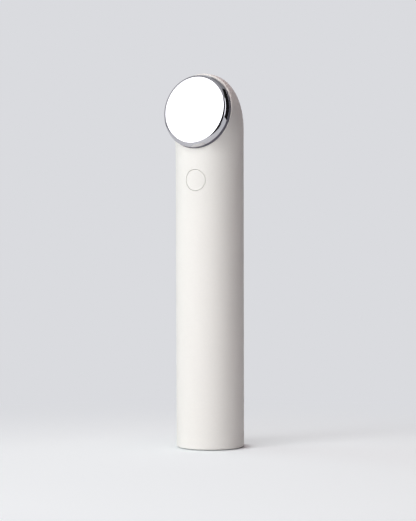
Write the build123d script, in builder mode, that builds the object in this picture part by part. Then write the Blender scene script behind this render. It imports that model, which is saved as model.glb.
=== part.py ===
# Ultrasonic skincare wand: a round upright tube that bends forward into a head with a metal face.
# Millimetres, +Z up, the front faces -Y. The origin is on the tube's axis, under the foot pad.
from build123d import *
from math import acos, cos, pi, radians, sin, sqrt
import os

os.makedirs("parts", exist_ok=True)

# Tube and elbow
overall_height = 165.3
tube_diameter = 30.0
wall = 1.8
base_edge_fillet = 0.9
foot_pad_proud = 0.3
back_arc_radius = 20.0
elbow_height = 40.8
front_rib_count = 8
lip_rib_count = 3
shoulder_depth = 1.3
shoulder_spread = 0.1
shoulder_front_depth = 0.3
lip_side_width = 0.15
lip_top_width = 0.55
lip_bottom_width = 0.0

# Metal face: its middle lies below the top and in front of the tube's axis
face_drop = 15.55
face_forward = 15.6
face_tilt = 15.4
face_half_width = 14.0
face_half_height = 14.9
face_thickness = 1.2
rim_round = 1.3
rim_width = 0.55
cap_height = 2.7
foot_flare_width = 1.15
foot_flare_height = 1.05
foot_edge_round = 0.25
gasket_thickness = 1.8
gasket_inset = 0.1
seat_width = 1.3
skirt_clearance = 0.1
skirt_depth = 3.0
skirt_wall = 1.1
collar_wall = 1.4
collar_depth = 6.6

# Transducer and its plate
piezo_thickness = 2.0
locating_ring_gap = 0.1
locating_ring_wall = 0.5
boss_diameter = 3.0
boss_skirt_gap = 0.5
boss_ring_gap = 0.1
head_screw_count = 3
frame_clearance = 0.05
frame_gap = 0.2
frame_rim_wall = 1.8
frame_rim_height = 3.0
frame_web = 1.4
frame_opening_diameter = 10.0

# Power button, from the tube's axis outward along the front
button_drop = 46.4
button_diameter = 9.15
button_gap = 0.15
button_sink = 0.1
button_edge_round = 0.12
button_travel = 0.3
button_seat = 11.0
button_boss_diameter = 13.6
flange_diameter = 11.4
flange_thickness = 0.7
flange_seat_gap = 0.05
retainer_diameter = 13.4
retainer_height = 2.1
retainer_side_gap = 0.2
stem_diameter = 4.0
stem_clearance = 0.06
stem_length = 1.75
seal_groove_width = 1.0
seal_groove_depth = 0.6
seal_groove_setback = 0.9
seal_clearance = 0.05
seal_section = 0.7

# Tact switch
plunger_gap = 0.05
plunger_diameter = 3.5
plunger_clearance = 0.07
plunger_engaged = 0.4
switch_side = 6.0
switch_corner_radius = 0.4
switch_height = 3.5
switch_cover_thickness = 0.3
switch_pocket_spare = 0.1

# Main board and what it carries
board_front = 1.5
board_thickness = 1.2
board_width = 21.0
board_length = 44.6
board_end_gap = 0.1
board_corner_radius = 1.0
board_screw_inset = 2.6
board_screw_edge = 1.3
processor_side = 5.0
processor_height = 0.9
processor_drop = 12.0
processor_side_step = 5.2
transformer_width = 10.2
transformer_depth = 5.0
transformer_length = 8.8
transformer_drop = 22.0
transformer_leg = 2.6
transformer_yoke = 1.7
winding_gap = 0.15
winding_depth = 8.0
capacitor_diameter = 6.3
capacitor_height = 7.7
capacitor_side_step = 4.6
transistor_width = 6.5
transistor_length = 3.5
transistor_height = 1.6
transistor_pitch = 5.5
socket_width = 6.0
socket_length = 4.4
socket_height = 4.8
socket_pocket = 0.8
piezo_socket_rise = 5.9

# Chassis
chassis_gap = 0.3
chassis_wall = 1.5
bulkhead_thickness = 1.5
wire_chord = 9.5
chassis_top_drop = 36.3
ledge_width = 5.2
ledge_depth = 3.5

# Battery cell, its tabs and pads
cell_diameter = 18.3
cell_end_fillet = 0.6
tab_thickness = 0.25
tab_width = 5.0
tab_reach = 10.4
pad_gap = 0.05
back_pad_angle = 45.0
back_pad_thickness = 1.9
front_pad_angle = 52.0
front_pad_thickness = 3.6
pad_width = 4.5
pad_end_gap = 7.5

# Base cap, its seal and screws
flange_step_depth = 1.6
flange_step_width = 0.8
base_gap = 0.1
base_floor = 2.0
base_rim_height = 5.7
base_rim_wall = 1.8
base_screw_offset = 10.2
base_column_diameter = 5.0
housing_boss_diameter = 4.6
housing_boss_gap = 0.2
housing_boss_length = 8.0
base_screw_pilot_depth = 7.25
base_seal_section = 1.0
base_seal_rise = 4.0
base_seal_squeeze = 0.05
base_groove_width = 1.3
base_groove_depth = 1.05
foot_pad_outer_radius = 12.6
foot_pad_inner_radius = 7.6
foot_pad_thickness = 1.0
foot_pad_side_gap = 0.1

# Charging inlet and its board
inlet_width = 8.94
inlet_height = 3.26
inlet_wall = 0.3
inlet_length = 7.3
inlet_setback = 0.7
inlet_clearance = 0.2
inlet_end_wall = 0.6
tongue_width = 6.7
tongue_thickness = 0.7
tongue_length = 4.6
charge_board_width = 13.0
charge_board_length = 17.0
charge_board_thickness = 1.0
charge_post_offset = 6.5
charge_post_diameter = 3.4
charge_chip_side = 3.0
charge_chip_height = 0.9
charge_chip_offset = 3.5

# Screws: shank, head and length under the head
small_screw_diameter = 1.6
small_screw_head_diameter = 3.0
small_screw_head_height = 1.1
small_screw_socket = 0.7
small_screw_length = 4.0
base_screw_diameter = 2.0
base_screw_head_diameter = 3.8
base_screw_head_height = 1.5
base_screw_socket = 1.0
base_screw_length = 9.0
screw_clearance = 0.03
screw_head_clearance = 0.2

# Leads
lead_diameter = 1.0
lead_bend_radius = 1.6
inner_lead_side = 1.3
outer_lead_side = 4.2
piezo_lead_side = 2.0
piezo_lead_drop = 2.5
charge_lead_step = 3.6
charge_lead_rise = 2.4
charge_pad_rise = 1.0

# Worked out from the sizes above
tube_radius = tube_diameter / 2
inner_radius = tube_radius - wall
elbow_start = overall_height - elbow_height
arc_centre_y = tube_radius - back_arc_radius
arc_centre_z = overall_height - back_arc_radius
button_z = overall_height - button_drop
tilt = radians(face_tilt)
face_out = Vector(0, -cos(tilt), sin(tilt))
face_up = Vector(0, sin(tilt), cos(tilt))
mouth_to_face = cap_height + gasket_thickness
mouth = Vector(0, -face_forward, overall_height - face_drop) - face_out * mouth_to_face
foot_half_width = face_half_width + rim_width + foot_flare_width
foot_half_height = face_half_height + rim_width + foot_flare_height
bore_half_width = foot_half_width - seat_width
bore_half_height = foot_half_height - seat_width
skirt_half_width = bore_half_width - skirt_clearance
skirt_half_height = bore_half_height - skirt_clearance
boss_circle_radius = skirt_half_width - skirt_wall - boss_skirt_gap - boss_diameter / 2
ring_outer_radius = boss_circle_radius - boss_diameter / 2 - boss_ring_gap
piezo_radius = ring_outer_radius - locating_ring_wall - locating_ring_gap
chassis_radius = inner_radius - chassis_gap
housing_boss_start = foot_pad_proud + base_rim_height + housing_boss_gap
housing_boss_top = housing_boss_start + housing_boss_length
chassis_bottom = housing_boss_top
chassis_top = overall_height - chassis_top_drop
board_top = chassis_top - bulkhead_thickness - board_end_gap
board_bottom = board_top - board_length
board_middle = (board_top + board_bottom) / 2
board_back = board_front - board_thickness
mid_bulkhead = board_bottom - board_end_gap - bulkhead_thickness
cell_bottom = chassis_bottom + bulkhead_thickness + tab_thickness
cell_top = mid_bulkhead - tab_thickness
cell_length = cell_top - cell_bottom


# Planes of the head, of the front and of the elbow's ribs
def head_plane(out):
    return Plane(origin=mouth + face_out * out, x_dir=face_up, z_dir=face_out)


def front_plane(out, height):
    return Plane(origin=(0, -out, height), x_dir=(1, 0, 0), z_dir=(0, -1, 0))


def rib(front, back, half_width, inset):
    # An oval across the elbow, drawn from its front point to its back point
    along = back - front
    half_length = along.length / 2
    normal = Vector(0, -along.Z, along.Y)
    plane = Plane(origin=(front + back) * 0.5, x_dir=along, z_dir=normal)
    return plane, half_length - inset, half_width - inset


# The elbow's ribs: the back follows an arc, the front flares a little to the lip, then the edge rounds.
# They lie closer together at both ends, so that the elbow leaves the tube without a ridge
def back_point(travel):
    straight = arc_centre_z - elbow_start
    if travel <= straight:
        return Vector(0, tube_radius, elbow_start + travel)
    angle = (travel - straight) / back_arc_radius
    return Vector(0, arc_centre_y + back_arc_radius * cos(angle), arc_centre_z + back_arc_radius * sin(angle))


def elbow_ribs(inset):
    arc_centre_depth = (Vector(0, arc_centre_y, arc_centre_z) - mouth).dot(face_out)
    arc_end = pi - tilt - acos((-shoulder_depth - arc_centre_depth) / back_arc_radius)
    travel = arc_centre_z - elbow_start + back_arc_radius * arc_end
    lip_half_width = foot_half_width + lip_side_width
    lip_bottom = mouth - face_up * (foot_half_height + lip_bottom_width)
    lip_top = mouth + face_up * (foot_half_height + lip_top_width)
    front_end = lip_bottom - face_out * shoulder_front_depth
    shoulder_rise = (back_point(travel) - lip_top).dot(face_up)
    bend_ribs = []
    for count in range(front_rib_count + 1):
        share = (1 - cos(pi * count / front_rib_count)) / 2
        flare = (-tube_radius - front_end.Y) * share**3
        front = Vector(0, -tube_radius - flare, elbow_start + (front_end.Z - elbow_start) * share)
        half_width = tube_radius + (lip_half_width + shoulder_spread - tube_radius) * share**3
        bend_ribs.append(rib(front, back_point(travel * share), half_width, inset))
    lip_ribs = [bend_ribs[-1]]
    for count in range(1, lip_rib_count + 1):
        turn = pi / 2 * count / lip_rib_count
        front = lip_bottom - face_out * shoulder_front_depth * (1 - sin(turn))
        back = lip_top + face_up * shoulder_rise * cos(turn) - face_out * shoulder_depth * (1 - sin(turn))
        lip_ribs.append(rib(front, back, lip_half_width + shoulder_spread * cos(turn), inset))
    return bend_ribs, lip_ribs


# Housing cavity: the tube and elbow one wall further in, less the collar, the button boss and the
# two screw bosses, which stay part of the housing
with BuildPart() as housing_cavity:
    with BuildSketch(Plane.XY):
        Circle(inner_radius)
    extrude(amount=elbow_start)
    for ribs in elbow_ribs(wall):
        for plane, half_length, half_width in ribs:
            with BuildSketch(plane):
                Ellipse(half_length, half_width)
        loft()
    with BuildSketch(head_plane(-collar_depth)):
        Ellipse(bore_half_height + collar_wall, bore_half_width + collar_wall)
    extrude(amount=collar_depth + wall, mode=Mode.SUBTRACT)
    with BuildSketch(front_plane(button_seat, button_z)):
        Circle(button_boss_diameter / 2)
    extrude(amount=tube_radius - button_seat, mode=Mode.SUBTRACT)
    with BuildSketch(Plane.XY.offset(housing_boss_start)):
        with Locations((base_screw_offset, 0), (-base_screw_offset, 0)):
            Circle(housing_boss_diameter / 2)
        with Locations((inner_radius, 0), (-inner_radius, 0)):
            Rectangle(2 * (inner_radius - base_screw_offset), housing_boss_diameter)
    extrude(amount=housing_boss_length, mode=Mode.SUBTRACT)

# Housing
with BuildPart() as housing:
    with BuildSketch(Plane.XY.offset(foot_pad_proud)):
        Circle(tube_radius)
    extrude(amount=elbow_start - foot_pad_proud)
    for ribs in elbow_ribs(0):
        for plane, half_length, half_width in ribs:
            with BuildSketch(plane):
                Ellipse(half_length, half_width)
        loft()
    base_edge = housing.edges().filter_by(GeomType.CIRCLE).group_by(Axis.Z)[0]
    fillet(base_edge, base_edge_fillet)
    add(housing_cavity.part, mode=Mode.SUBTRACT)
    with BuildSketch(head_plane(-collar_depth)):
        Ellipse(bore_half_height, bore_half_width)
    extrude(amount=collar_depth + wall, mode=Mode.SUBTRACT)
    with BuildSketch(front_plane(button_seat, button_z)):
        Circle(button_diameter / 2 + button_gap)
    extrude(amount=tube_radius, mode=Mode.SUBTRACT)
    hole_axis = Axis((0, 0, button_z), (0, -1, 0))
    fillet(housing.edges(Select.LAST).sort_by(hole_axis)[-1], button_edge_round)
    with BuildSketch(Plane.XY):
        Circle(inner_radius + flange_step_width)
    extrude(amount=foot_pad_proud + flange_step_depth, mode=Mode.SUBTRACT)
    with BuildSketch(Plane.XY.offset(housing_boss_start)):
        with Locations((base_screw_offset, 0), (-base_screw_offset, 0)):
            Circle(base_screw_diameter / 2 + screw_clearance)
    extrude(amount=base_screw_pilot_depth, mode=Mode.SUBTRACT)
housing.part.label = "housing"

# Metal cap with its flat face, skirt and screw bosses
boss_end = skirt_depth + frame_gap
inner_face = mouth_to_face - face_thickness
with BuildPart() as head_cap:
    with BuildSketch(head_plane(gasket_thickness)):
        Ellipse(foot_half_height, foot_half_width)
    with BuildSketch(head_plane(mouth_to_face)):
        Ellipse(face_half_height + rim_width, face_half_width + rim_width)
    loft(ruled=True)
    head_axis = Axis(mouth, face_out)
    fillet(head_cap.edges().sort_by(head_axis)[-1], rim_round)
    fillet(head_cap.edges().sort_by(head_axis)[0], foot_edge_round)
    with BuildSketch(head_plane(gasket_thickness)):
        Ellipse(skirt_half_height, skirt_half_width)
    extrude(amount=-(skirt_depth + gasket_thickness))
    with BuildSketch(head_plane(-skirt_depth)):
        Ellipse(skirt_half_height - skirt_wall, skirt_half_width - skirt_wall)
    extrude(amount=skirt_depth + inner_face, mode=Mode.SUBTRACT)
    with BuildSketch(head_plane(-boss_end)):
        with PolarLocations(boss_circle_radius, head_screw_count):
            Circle(boss_diameter / 2)
    extrude(amount=boss_end + inner_face)
    with BuildSketch(head_plane(-boss_end)):
        with PolarLocations(boss_circle_radius, head_screw_count):
            Circle(small_screw_diameter / 2 + screw_clearance)
    extrude(amount=small_screw_length, mode=Mode.SUBTRACT)
head_cap.part.label = "head_cap"

# Gasket between the cap's foot and the housing's lip
with BuildPart() as head_gasket:
    with BuildSketch(head_plane(0)):
        Ellipse(foot_half_height - gasket_inset, foot_half_width - gasket_inset)
        Ellipse(bore_half_height, bore_half_width, mode=Mode.SUBTRACT)
    extrude(amount=gasket_thickness)
head_gasket.part.label = "head_gasket"

# Plate behind the cap
frame_front = -boss_end
with BuildPart() as head_frame:
    with BuildSketch(head_plane(frame_front)):
        Ellipse(bore_half_height - frame_clearance, bore_half_width - frame_clearance)
    extrude(amount=-frame_rim_height)
    with BuildSketch(head_plane(frame_front - frame_rim_height)):
        Ellipse(bore_half_height - frame_rim_wall, bore_half_width - frame_rim_wall)
    extrude(amount=frame_rim_height - frame_web, mode=Mode.SUBTRACT)
    with BuildSketch(head_plane(frame_front)):
        Circle(frame_opening_diameter / 2)
        with PolarLocations(boss_circle_radius, head_screw_count):
            Circle(small_screw_diameter / 2 + screw_clearance)
    extrude(amount=-frame_web, mode=Mode.SUBTRACT)
head_frame.part.label = "head_frame"

# Head screws, one node
with BuildPart() as head_screws:
    with BuildSketch(head_plane(frame_front - frame_web)):
        with PolarLocations(boss_circle_radius, head_screw_count):
            Circle(small_screw_head_diameter / 2)
    extrude(amount=-small_screw_head_height)
    with BuildSketch(head_plane(frame_front - frame_web)):
        with PolarLocations(boss_circle_radius, head_screw_count):
            Circle(small_screw_diameter / 2)
    extrude(amount=small_screw_length)
    with BuildSketch(head_plane(frame_front - frame_web - small_screw_head_height)):
        with PolarLocations(boss_circle_radius, head_screw_count):
            RegularPolygon(small_screw_socket, 6)
    extrude(amount=small_screw_head_height / 2, mode=Mode.SUBTRACT)
head_screws.part.label = "head_screws"

# Transducer disc and the ring that centres it
with BuildPart() as piezo_disc:
    with BuildSketch(head_plane(inner_face)):
        Circle(piezo_radius)
    extrude(amount=-piezo_thickness)
piezo_disc.part.label = "piezo_disc"

with BuildPart() as piezo_locating_ring:
    with BuildSketch(head_plane(inner_face)):
        Circle(ring_outer_radius)
        Circle(piezo_radius + locating_ring_gap, mode=Mode.SUBTRACT)
    extrude(amount=-piezo_thickness)
piezo_locating_ring.part.label = "piezo_locating_ring"

# Power button: a cap just under the tube's surface, a flange under its seat and a stem to the switch
flange_front = button_seat - flange_seat_gap
flange_back = flange_front - flange_thickness
stem_end = flange_back - stem_length
groove_front = sqrt(tube_radius**2 - (button_diameter / 2) ** 2) - seal_groove_setback
groove_back = groove_front - seal_groove_width
with BuildPart() as power_button:
    with BuildSketch(Plane.XY.offset(button_z - button_diameter)):
        Circle(tube_radius - button_sink)
    extrude(amount=2 * button_diameter)
    with BuildSketch(front_plane(flange_front, button_z)):
        Circle(button_diameter / 2)
    extrude(amount=tube_radius, mode=Mode.INTERSECT)
    fillet(power_button.edges().sort_by(hole_axis)[-1], button_edge_round)
    with BuildSketch(front_plane(groove_back, button_z)):
        Circle(button_diameter)
        Circle(button_diameter / 2 - seal_groove_depth, mode=Mode.SUBTRACT)
    extrude(amount=seal_groove_width, mode=Mode.SUBTRACT)
    with BuildSketch(front_plane(flange_back, button_z)):
        Circle(flange_diameter / 2)
    extrude(amount=flange_thickness)
    with BuildSketch(front_plane(stem_end, button_z)):
        Circle(stem_diameter / 2)
    extrude(amount=stem_length)
power_button.part.label = "power_button"

# Seal ring in the button's groove
seal_outer_radius = button_diameter / 2 + button_gap - seal_clearance
with BuildPart() as button_seal_ring:
    with BuildSketch(front_plane((groove_front + groove_back) / 2, button_z)):
        Circle(seal_outer_radius)
        Circle(seal_outer_radius - seal_section, mode=Mode.SUBTRACT)
    extrude(amount=seal_section / 2, both=True)
    fillet(button_seal_ring.edges(), seal_section / 3)
button_seal_ring.part.label = "button_seal_ring"

# Retainer behind the flange
with BuildPart() as button_retainer:
    with BuildSketch(front_plane(button_seat, button_z)):
        Circle(retainer_diameter / 2)
    extrude(amount=-retainer_height)
    with BuildSketch(front_plane(button_seat, button_z)):
        Circle(flange_diameter / 2 + retainer_side_gap)
    extrude(amount=-(flange_seat_gap * 2 + flange_thickness + button_travel), mode=Mode.SUBTRACT)
    with BuildSketch(front_plane(button_seat, button_z)):
        Circle(stem_diameter / 2 + stem_clearance)
    extrude(amount=-retainer_height, mode=Mode.SUBTRACT)
button_retainer.part.label = "button_retainer"

# Tact switch on the main board
switch_top = board_front + switch_height
plunger_tip = stem_end - plunger_gap
plunger_root = switch_top - plunger_engaged
pocket_floor = plunger_root - button_travel - switch_pocket_spare
with BuildPart() as switch_body:
    with BuildSketch(front_plane(board_front, button_z)):
        RectangleRounded(switch_side, switch_side, switch_corner_radius)
    extrude(amount=switch_height - switch_cover_thickness)
    with BuildSketch(front_plane(pocket_floor, button_z)):
        Circle(plunger_diameter / 2 + plunger_clearance)
    extrude(amount=switch_top - pocket_floor, mode=Mode.SUBTRACT)
switch_body.part.label = "switch_body"

with BuildPart() as switch_cover:
    with BuildSketch(front_plane(switch_top - switch_cover_thickness, button_z)):
        RectangleRounded(switch_side, switch_side, switch_corner_radius)
        Circle(plunger_diameter / 2 + plunger_clearance, mode=Mode.SUBTRACT)
    extrude(amount=switch_cover_thickness)
switch_cover.part.label = "switch_cover"

with BuildPart() as switch_plunger:
    with BuildSketch(front_plane(plunger_root, button_z)):
        Circle(plunger_diameter / 2)
    extrude(amount=plunger_tip - plunger_root)
switch_plunger.part.label = "switch_plunger"

# Main board with its four screws
screw_side = board_width / 2 - board_screw_edge
screw_rise = board_length / 2 - board_screw_inset
with BuildPart() as main_board:
    with BuildSketch(front_plane(board_back, board_middle)):
        RectangleRounded(board_width, board_length, board_corner_radius)
        with GridLocations(2 * screw_side, 2 * screw_rise, 2, 2):
            Circle(small_screw_diameter / 2 + screw_clearance, mode=Mode.SUBTRACT)
    extrude(amount=board_thickness)
main_board.part.label = "main_board"

with BuildPart() as board_screws:
    with BuildSketch(front_plane(board_front, board_middle)):
        with GridLocations(2 * screw_side, 2 * screw_rise, 2, 2):
            Circle(small_screw_head_diameter / 2)
    extrude(amount=small_screw_head_height)
    with BuildSketch(front_plane(board_front, board_middle)):
        with GridLocations(2 * screw_side, 2 * screw_rise, 2, 2):
            Circle(small_screw_diameter / 2)
    extrude(amount=-small_screw_length)
    with BuildSketch(front_plane(board_front + small_screw_head_height, board_middle)):
        with GridLocations(2 * screw_side, 2 * screw_rise, 2, 2):
            RegularPolygon(small_screw_socket, 6)
    extrude(amount=-small_screw_head_height / 2, mode=Mode.SUBTRACT)
board_screws.part.label = "board_screws"

# Board components
with BuildPart() as processor:
    with BuildSketch(front_plane(board_front, button_z - processor_drop)):
        with Locations((-processor_side_step, 0)):
            Rectangle(processor_side, processor_side)
    extrude(amount=processor_height)
processor.part.label = "processor"

with BuildPart() as bulk_capacitor:
    with BuildSketch(front_plane(board_front, button_z - processor_drop)):
        with Locations((capacitor_side_step, 0)):
            Circle(capacitor_diameter / 2)
    extrude(amount=capacitor_height)
bulk_capacitor.part.label = "bulk_capacitor"

window_width = (transformer_width - transformer_leg) / 2 - transformer_yoke
window_length = transformer_length - 2 * transformer_yoke
window_step = transformer_leg + window_width
core_rise = (winding_depth - transformer_depth) / 2
with BuildPart() as transformer_core:
    with BuildSketch(front_plane(board_front + core_rise, button_z - transformer_drop)):
        Rectangle(transformer_width, transformer_length)
        with GridLocations(window_step, 1, 2, 1):
            Rectangle(window_width, window_length, mode=Mode.SUBTRACT)
    extrude(amount=transformer_depth)
transformer_core.part.label = "transformer_core"

winding_width = transformer_leg + 2 * window_width - 2 * winding_gap
winding_foot = button_z - transformer_drop - window_length / 2 + winding_gap
core_middle_y = -(board_front + winding_depth / 2)
with BuildPart() as transformer_winding:
    with BuildSketch(Plane.XY.offset(winding_foot)):
        with Locations((0, core_middle_y)):
            Rectangle(winding_width, winding_depth)
            Rectangle(
                transformer_leg + 2 * winding_gap, transformer_depth + 2 * winding_gap, mode=Mode.SUBTRACT
            )
    extrude(amount=window_length - 2 * winding_gap)
transformer_winding.part.label = "transformer_winding"

with BuildPart() as power_transistors:
    with BuildSketch(front_plane(board_back, button_z - transformer_drop)):
        with GridLocations(1, transistor_pitch, 1, 2):
            Rectangle(transistor_width, transistor_length)
    extrude(amount=-transistor_height)
power_transistors.part.label = "power_transistors"

transformer_foot = button_z - transformer_drop - transformer_length / 2
battery_socket_z = (board_bottom + transformer_foot) / 2
piezo_socket_z = button_z + piezo_socket_rise
with BuildPart() as battery_socket:
    with BuildSketch(front_plane(board_front, battery_socket_z)):
        Rectangle(socket_width, socket_length)
    extrude(amount=socket_height)
    with BuildSketch(front_plane(board_front + socket_height, battery_socket_z)):
        Rectangle(socket_width - 2 * socket_pocket, socket_length - 2 * socket_pocket)
    extrude(amount=-socket_pocket, mode=Mode.SUBTRACT)
battery_socket.part.label = "battery_socket"

with BuildPart() as piezo_socket:
    with BuildSketch(front_plane(board_front, piezo_socket_z)):
        Rectangle(socket_width, socket_length)
    extrude(amount=socket_height)
    with BuildSketch(front_plane(board_front + socket_height, piezo_socket_z)):
        Rectangle(socket_width - 2 * socket_pocket, socket_length - 2 * socket_pocket)
    extrude(amount=-socket_pocket, mode=Mode.SUBTRACT)
piezo_socket.part.label = "piezo_socket"

# Chassis: a half-round carrier with three bulkheads and two ledges for the board
with BuildPart() as chassis:
    with BuildSketch(Plane.XY.offset(chassis_bottom)):
        Circle(chassis_radius)
        Circle(chassis_radius - chassis_wall, mode=Mode.SUBTRACT)
        Rectangle(2 * chassis_radius, chassis_radius, align=(Align.CENTER, Align.MAX), mode=Mode.SUBTRACT)
    extrude(amount=chassis_top - chassis_bottom)
    for level in (chassis_bottom, mid_bulkhead):
        with BuildSketch(Plane.XY.offset(level)):
            Circle(chassis_radius)
            with Locations((0, -wire_chord)):
                Rectangle(
                    2 * chassis_radius, chassis_radius, align=(Align.CENTER, Align.MAX), mode=Mode.SUBTRACT
                )
        extrude(amount=bulkhead_thickness)
    with BuildSketch(Plane.XY.offset(chassis_top - bulkhead_thickness)):
        Circle(chassis_radius)
        Rectangle(2 * chassis_radius, chassis_radius, align=(Align.CENTER, Align.MAX), mode=Mode.SUBTRACT)
    extrude(amount=bulkhead_thickness)
    with BuildSketch(Plane.XY.offset(mid_bulkhead + bulkhead_thickness)):
        Circle(chassis_radius)
        with Locations((0, -board_back)):
            Rectangle(2 * chassis_radius, chassis_radius, align=(Align.CENTER, Align.MAX), mode=Mode.SUBTRACT)
        with Locations((0, ledge_depth - board_back)):
            Rectangle(2 * chassis_radius, chassis_radius, align=(Align.CENTER, Align.MIN), mode=Mode.SUBTRACT)
        Rectangle(2 * screw_side - ledge_width, 2 * chassis_radius, mode=Mode.SUBTRACT)
    extrude(amount=chassis_top - bulkhead_thickness - mid_bulkhead - bulkhead_thickness)
    with BuildSketch(front_plane(board_back, board_middle)):
        with GridLocations(2 * screw_side, 2 * screw_rise, 2, 2):
            Circle(small_screw_diameter / 2 + screw_clearance)
    extrude(amount=-ledge_depth, mode=Mode.SUBTRACT)
chassis.part.label = "chassis"

# Battery cell with its tabs and foam pads
with BuildPart() as battery_cell:
    with BuildSketch(Plane.XY.offset(cell_bottom)):
        Circle(cell_diameter / 2)
    extrude(amount=cell_length)
    fillet(battery_cell.edges().filter_by(GeomType.CIRCLE), cell_end_fillet)
battery_cell.part.label = "battery_cell"

with BuildPart() as battery_tabs:
    for level in (cell_bottom - tab_thickness, cell_top):
        with BuildSketch(Plane.XY.offset(level)):
            with Locations((0, -tab_reach)):
                Rectangle(tab_width, tab_reach + tab_width / 2, align=(Align.CENTER, Align.MIN))
        extrude(amount=tab_thickness)
battery_tabs.part.label = "battery_tabs"

pad_bottom = cell_bottom + pad_end_gap
pad_length = cell_length - 2 * pad_end_gap
pad_inner_radius = cell_diameter / 2 + pad_gap
with BuildPart() as battery_back_pads:
    with BuildSketch(Plane.XY.offset(pad_bottom)):
        with PolarLocations(pad_inner_radius, 2, back_pad_angle, 180 - 2 * back_pad_angle, endpoint=True):
            Rectangle(back_pad_thickness, pad_width, align=(Align.MIN, Align.CENTER))
    extrude(amount=pad_length)
battery_back_pads.part.label = "battery_back_pads"

with BuildPart() as battery_front_pads:
    with BuildSketch(Plane.XY.offset(pad_bottom)):
        with PolarLocations(
            pad_inner_radius, 2, 180 + front_pad_angle, 180 - 2 * front_pad_angle, endpoint=True
        ):
            Rectangle(front_pad_thickness, pad_width, align=(Align.MIN, Align.CENTER))
    extrude(amount=pad_length)
battery_front_pads.part.label = "battery_front_pads"

# Base cap: flange in the housing's step, rim with a seal groove, screw columns and board posts
cap_bottom = foot_pad_proud
cap_floor_top = cap_bottom + base_floor
cap_radius = inner_radius - base_gap
inlet_bottom = cap_bottom + inlet_setback
charge_board_z = inlet_bottom + inlet_length
groove_middle = cap_bottom + base_seal_rise
screw_head_seat = foot_pad_thickness + base_screw_head_height
with BuildPart() as base_cap:
    with BuildSketch(Plane.XY.offset(cap_bottom)):
        Circle(inner_radius + flange_step_width - base_gap)
    extrude(amount=flange_step_depth - base_gap)
    with BuildSketch(Plane.XY.offset(cap_bottom)):
        Circle(cap_radius)
    extrude(amount=base_rim_height)
    with BuildSketch(Plane.XY.offset(cap_floor_top)):
        Circle(cap_radius - base_rim_wall)
        with Locations((base_screw_offset, 0), (-base_screw_offset, 0)):
            Circle(base_column_diameter / 2, mode=Mode.SUBTRACT)
    extrude(amount=base_rim_height, mode=Mode.SUBTRACT)
    with BuildSketch(Plane.XY.offset(groove_middle - base_groove_width / 2)):
        Circle(cap_radius + base_gap)
        Circle(cap_radius - base_groove_depth, mode=Mode.SUBTRACT)
    extrude(amount=base_groove_width, mode=Mode.SUBTRACT)
    with BuildSketch(Plane.XY.offset(cap_floor_top)):
        with Locations((0, charge_post_offset), (0, -charge_post_offset)):
            Circle(charge_post_diameter / 2)
    extrude(amount=charge_board_z - cap_floor_top)
    with BuildSketch(Plane.XY.offset(charge_board_z)):
        with Locations((0, charge_post_offset), (0, -charge_post_offset)):
            Circle(small_screw_diameter / 2 + screw_clearance)
    extrude(amount=-small_screw_length, mode=Mode.SUBTRACT)
    with BuildSketch(Plane.XY):
        Circle(foot_pad_outer_radius + foot_pad_side_gap)
        Circle(foot_pad_inner_radius - foot_pad_side_gap, mode=Mode.SUBTRACT)
    extrude(amount=foot_pad_thickness, mode=Mode.SUBTRACT)
    with BuildSketch(Plane.XY):
        with Locations((base_screw_offset, 0), (-base_screw_offset, 0)):
            Circle(base_screw_head_diameter / 2 + screw_head_clearance)
    extrude(amount=screw_head_seat, mode=Mode.SUBTRACT)
    with BuildSketch(Plane.XY):
        with Locations((base_screw_offset, 0), (-base_screw_offset, 0)):
            Circle(base_screw_diameter / 2 + screw_clearance)
        SlotOverall(inlet_width + 2 * inlet_clearance, inlet_height + 2 * inlet_clearance)
    extrude(amount=cap_bottom + base_rim_height, mode=Mode.SUBTRACT)
base_cap.part.label = "base_cap"

# Seal ring round the base cap
base_seal_radius = inner_radius - base_seal_squeeze - base_seal_section / 2
with BuildPart() as base_seal_ring:
    with BuildSketch(Plane.XZ):
        with Locations((base_seal_radius, groove_middle)):
            Circle(base_seal_section / 2)
    revolve(axis=Axis.Z)
base_seal_ring.part.label = "base_seal_ring"

# Base screws, one node
with BuildPart() as base_screws:
    with BuildSketch(Plane.XY.offset(foot_pad_thickness)):
        with Locations((base_screw_offset, 0), (-base_screw_offset, 0)):
            Circle(base_screw_head_diameter / 2)
    extrude(amount=base_screw_head_height)
    with BuildSketch(Plane.XY.offset(screw_head_seat)):
        with Locations((base_screw_offset, 0), (-base_screw_offset, 0)):
            Circle(base_screw_diameter / 2)
    extrude(amount=base_screw_length)
    with BuildSketch(Plane.XY.offset(foot_pad_thickness)):
        with Locations((base_screw_offset, 0), (-base_screw_offset, 0)):
            RegularPolygon(base_screw_socket, 6)
    extrude(amount=base_screw_head_height / 2, mode=Mode.SUBTRACT)
base_screws.part.label = "base_screws"

# Foot pad
with BuildPart() as foot_pad:
    with BuildSketch(Plane.XY):
        Circle(foot_pad_outer_radius)
        Circle(foot_pad_inner_radius, mode=Mode.SUBTRACT)
    extrude(amount=foot_pad_thickness)
foot_pad.part.label = "foot_pad"

# Charging inlet: a metal shell closed at its upper end, with a tongue inside
with BuildPart() as charge_socket_shell:
    with BuildSketch(Plane.XY.offset(inlet_bottom)):
        SlotOverall(inlet_width, inlet_height)
    extrude(amount=inlet_length)
    with BuildSketch(Plane.XY.offset(inlet_bottom)):
        SlotOverall(inlet_width - 2 * inlet_wall, inlet_height - 2 * inlet_wall)
    extrude(amount=inlet_length - inlet_end_wall, mode=Mode.SUBTRACT)
charge_socket_shell.part.label = "charge_socket_shell"

with BuildPart() as charge_socket_tongue:
    with BuildSketch(Plane.XY.offset(inlet_bottom + inlet_length - inlet_end_wall)):
        Rectangle(tongue_width, tongue_thickness)
    extrude(amount=-tongue_length)
charge_socket_tongue.part.label = "charge_socket_tongue"

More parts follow.
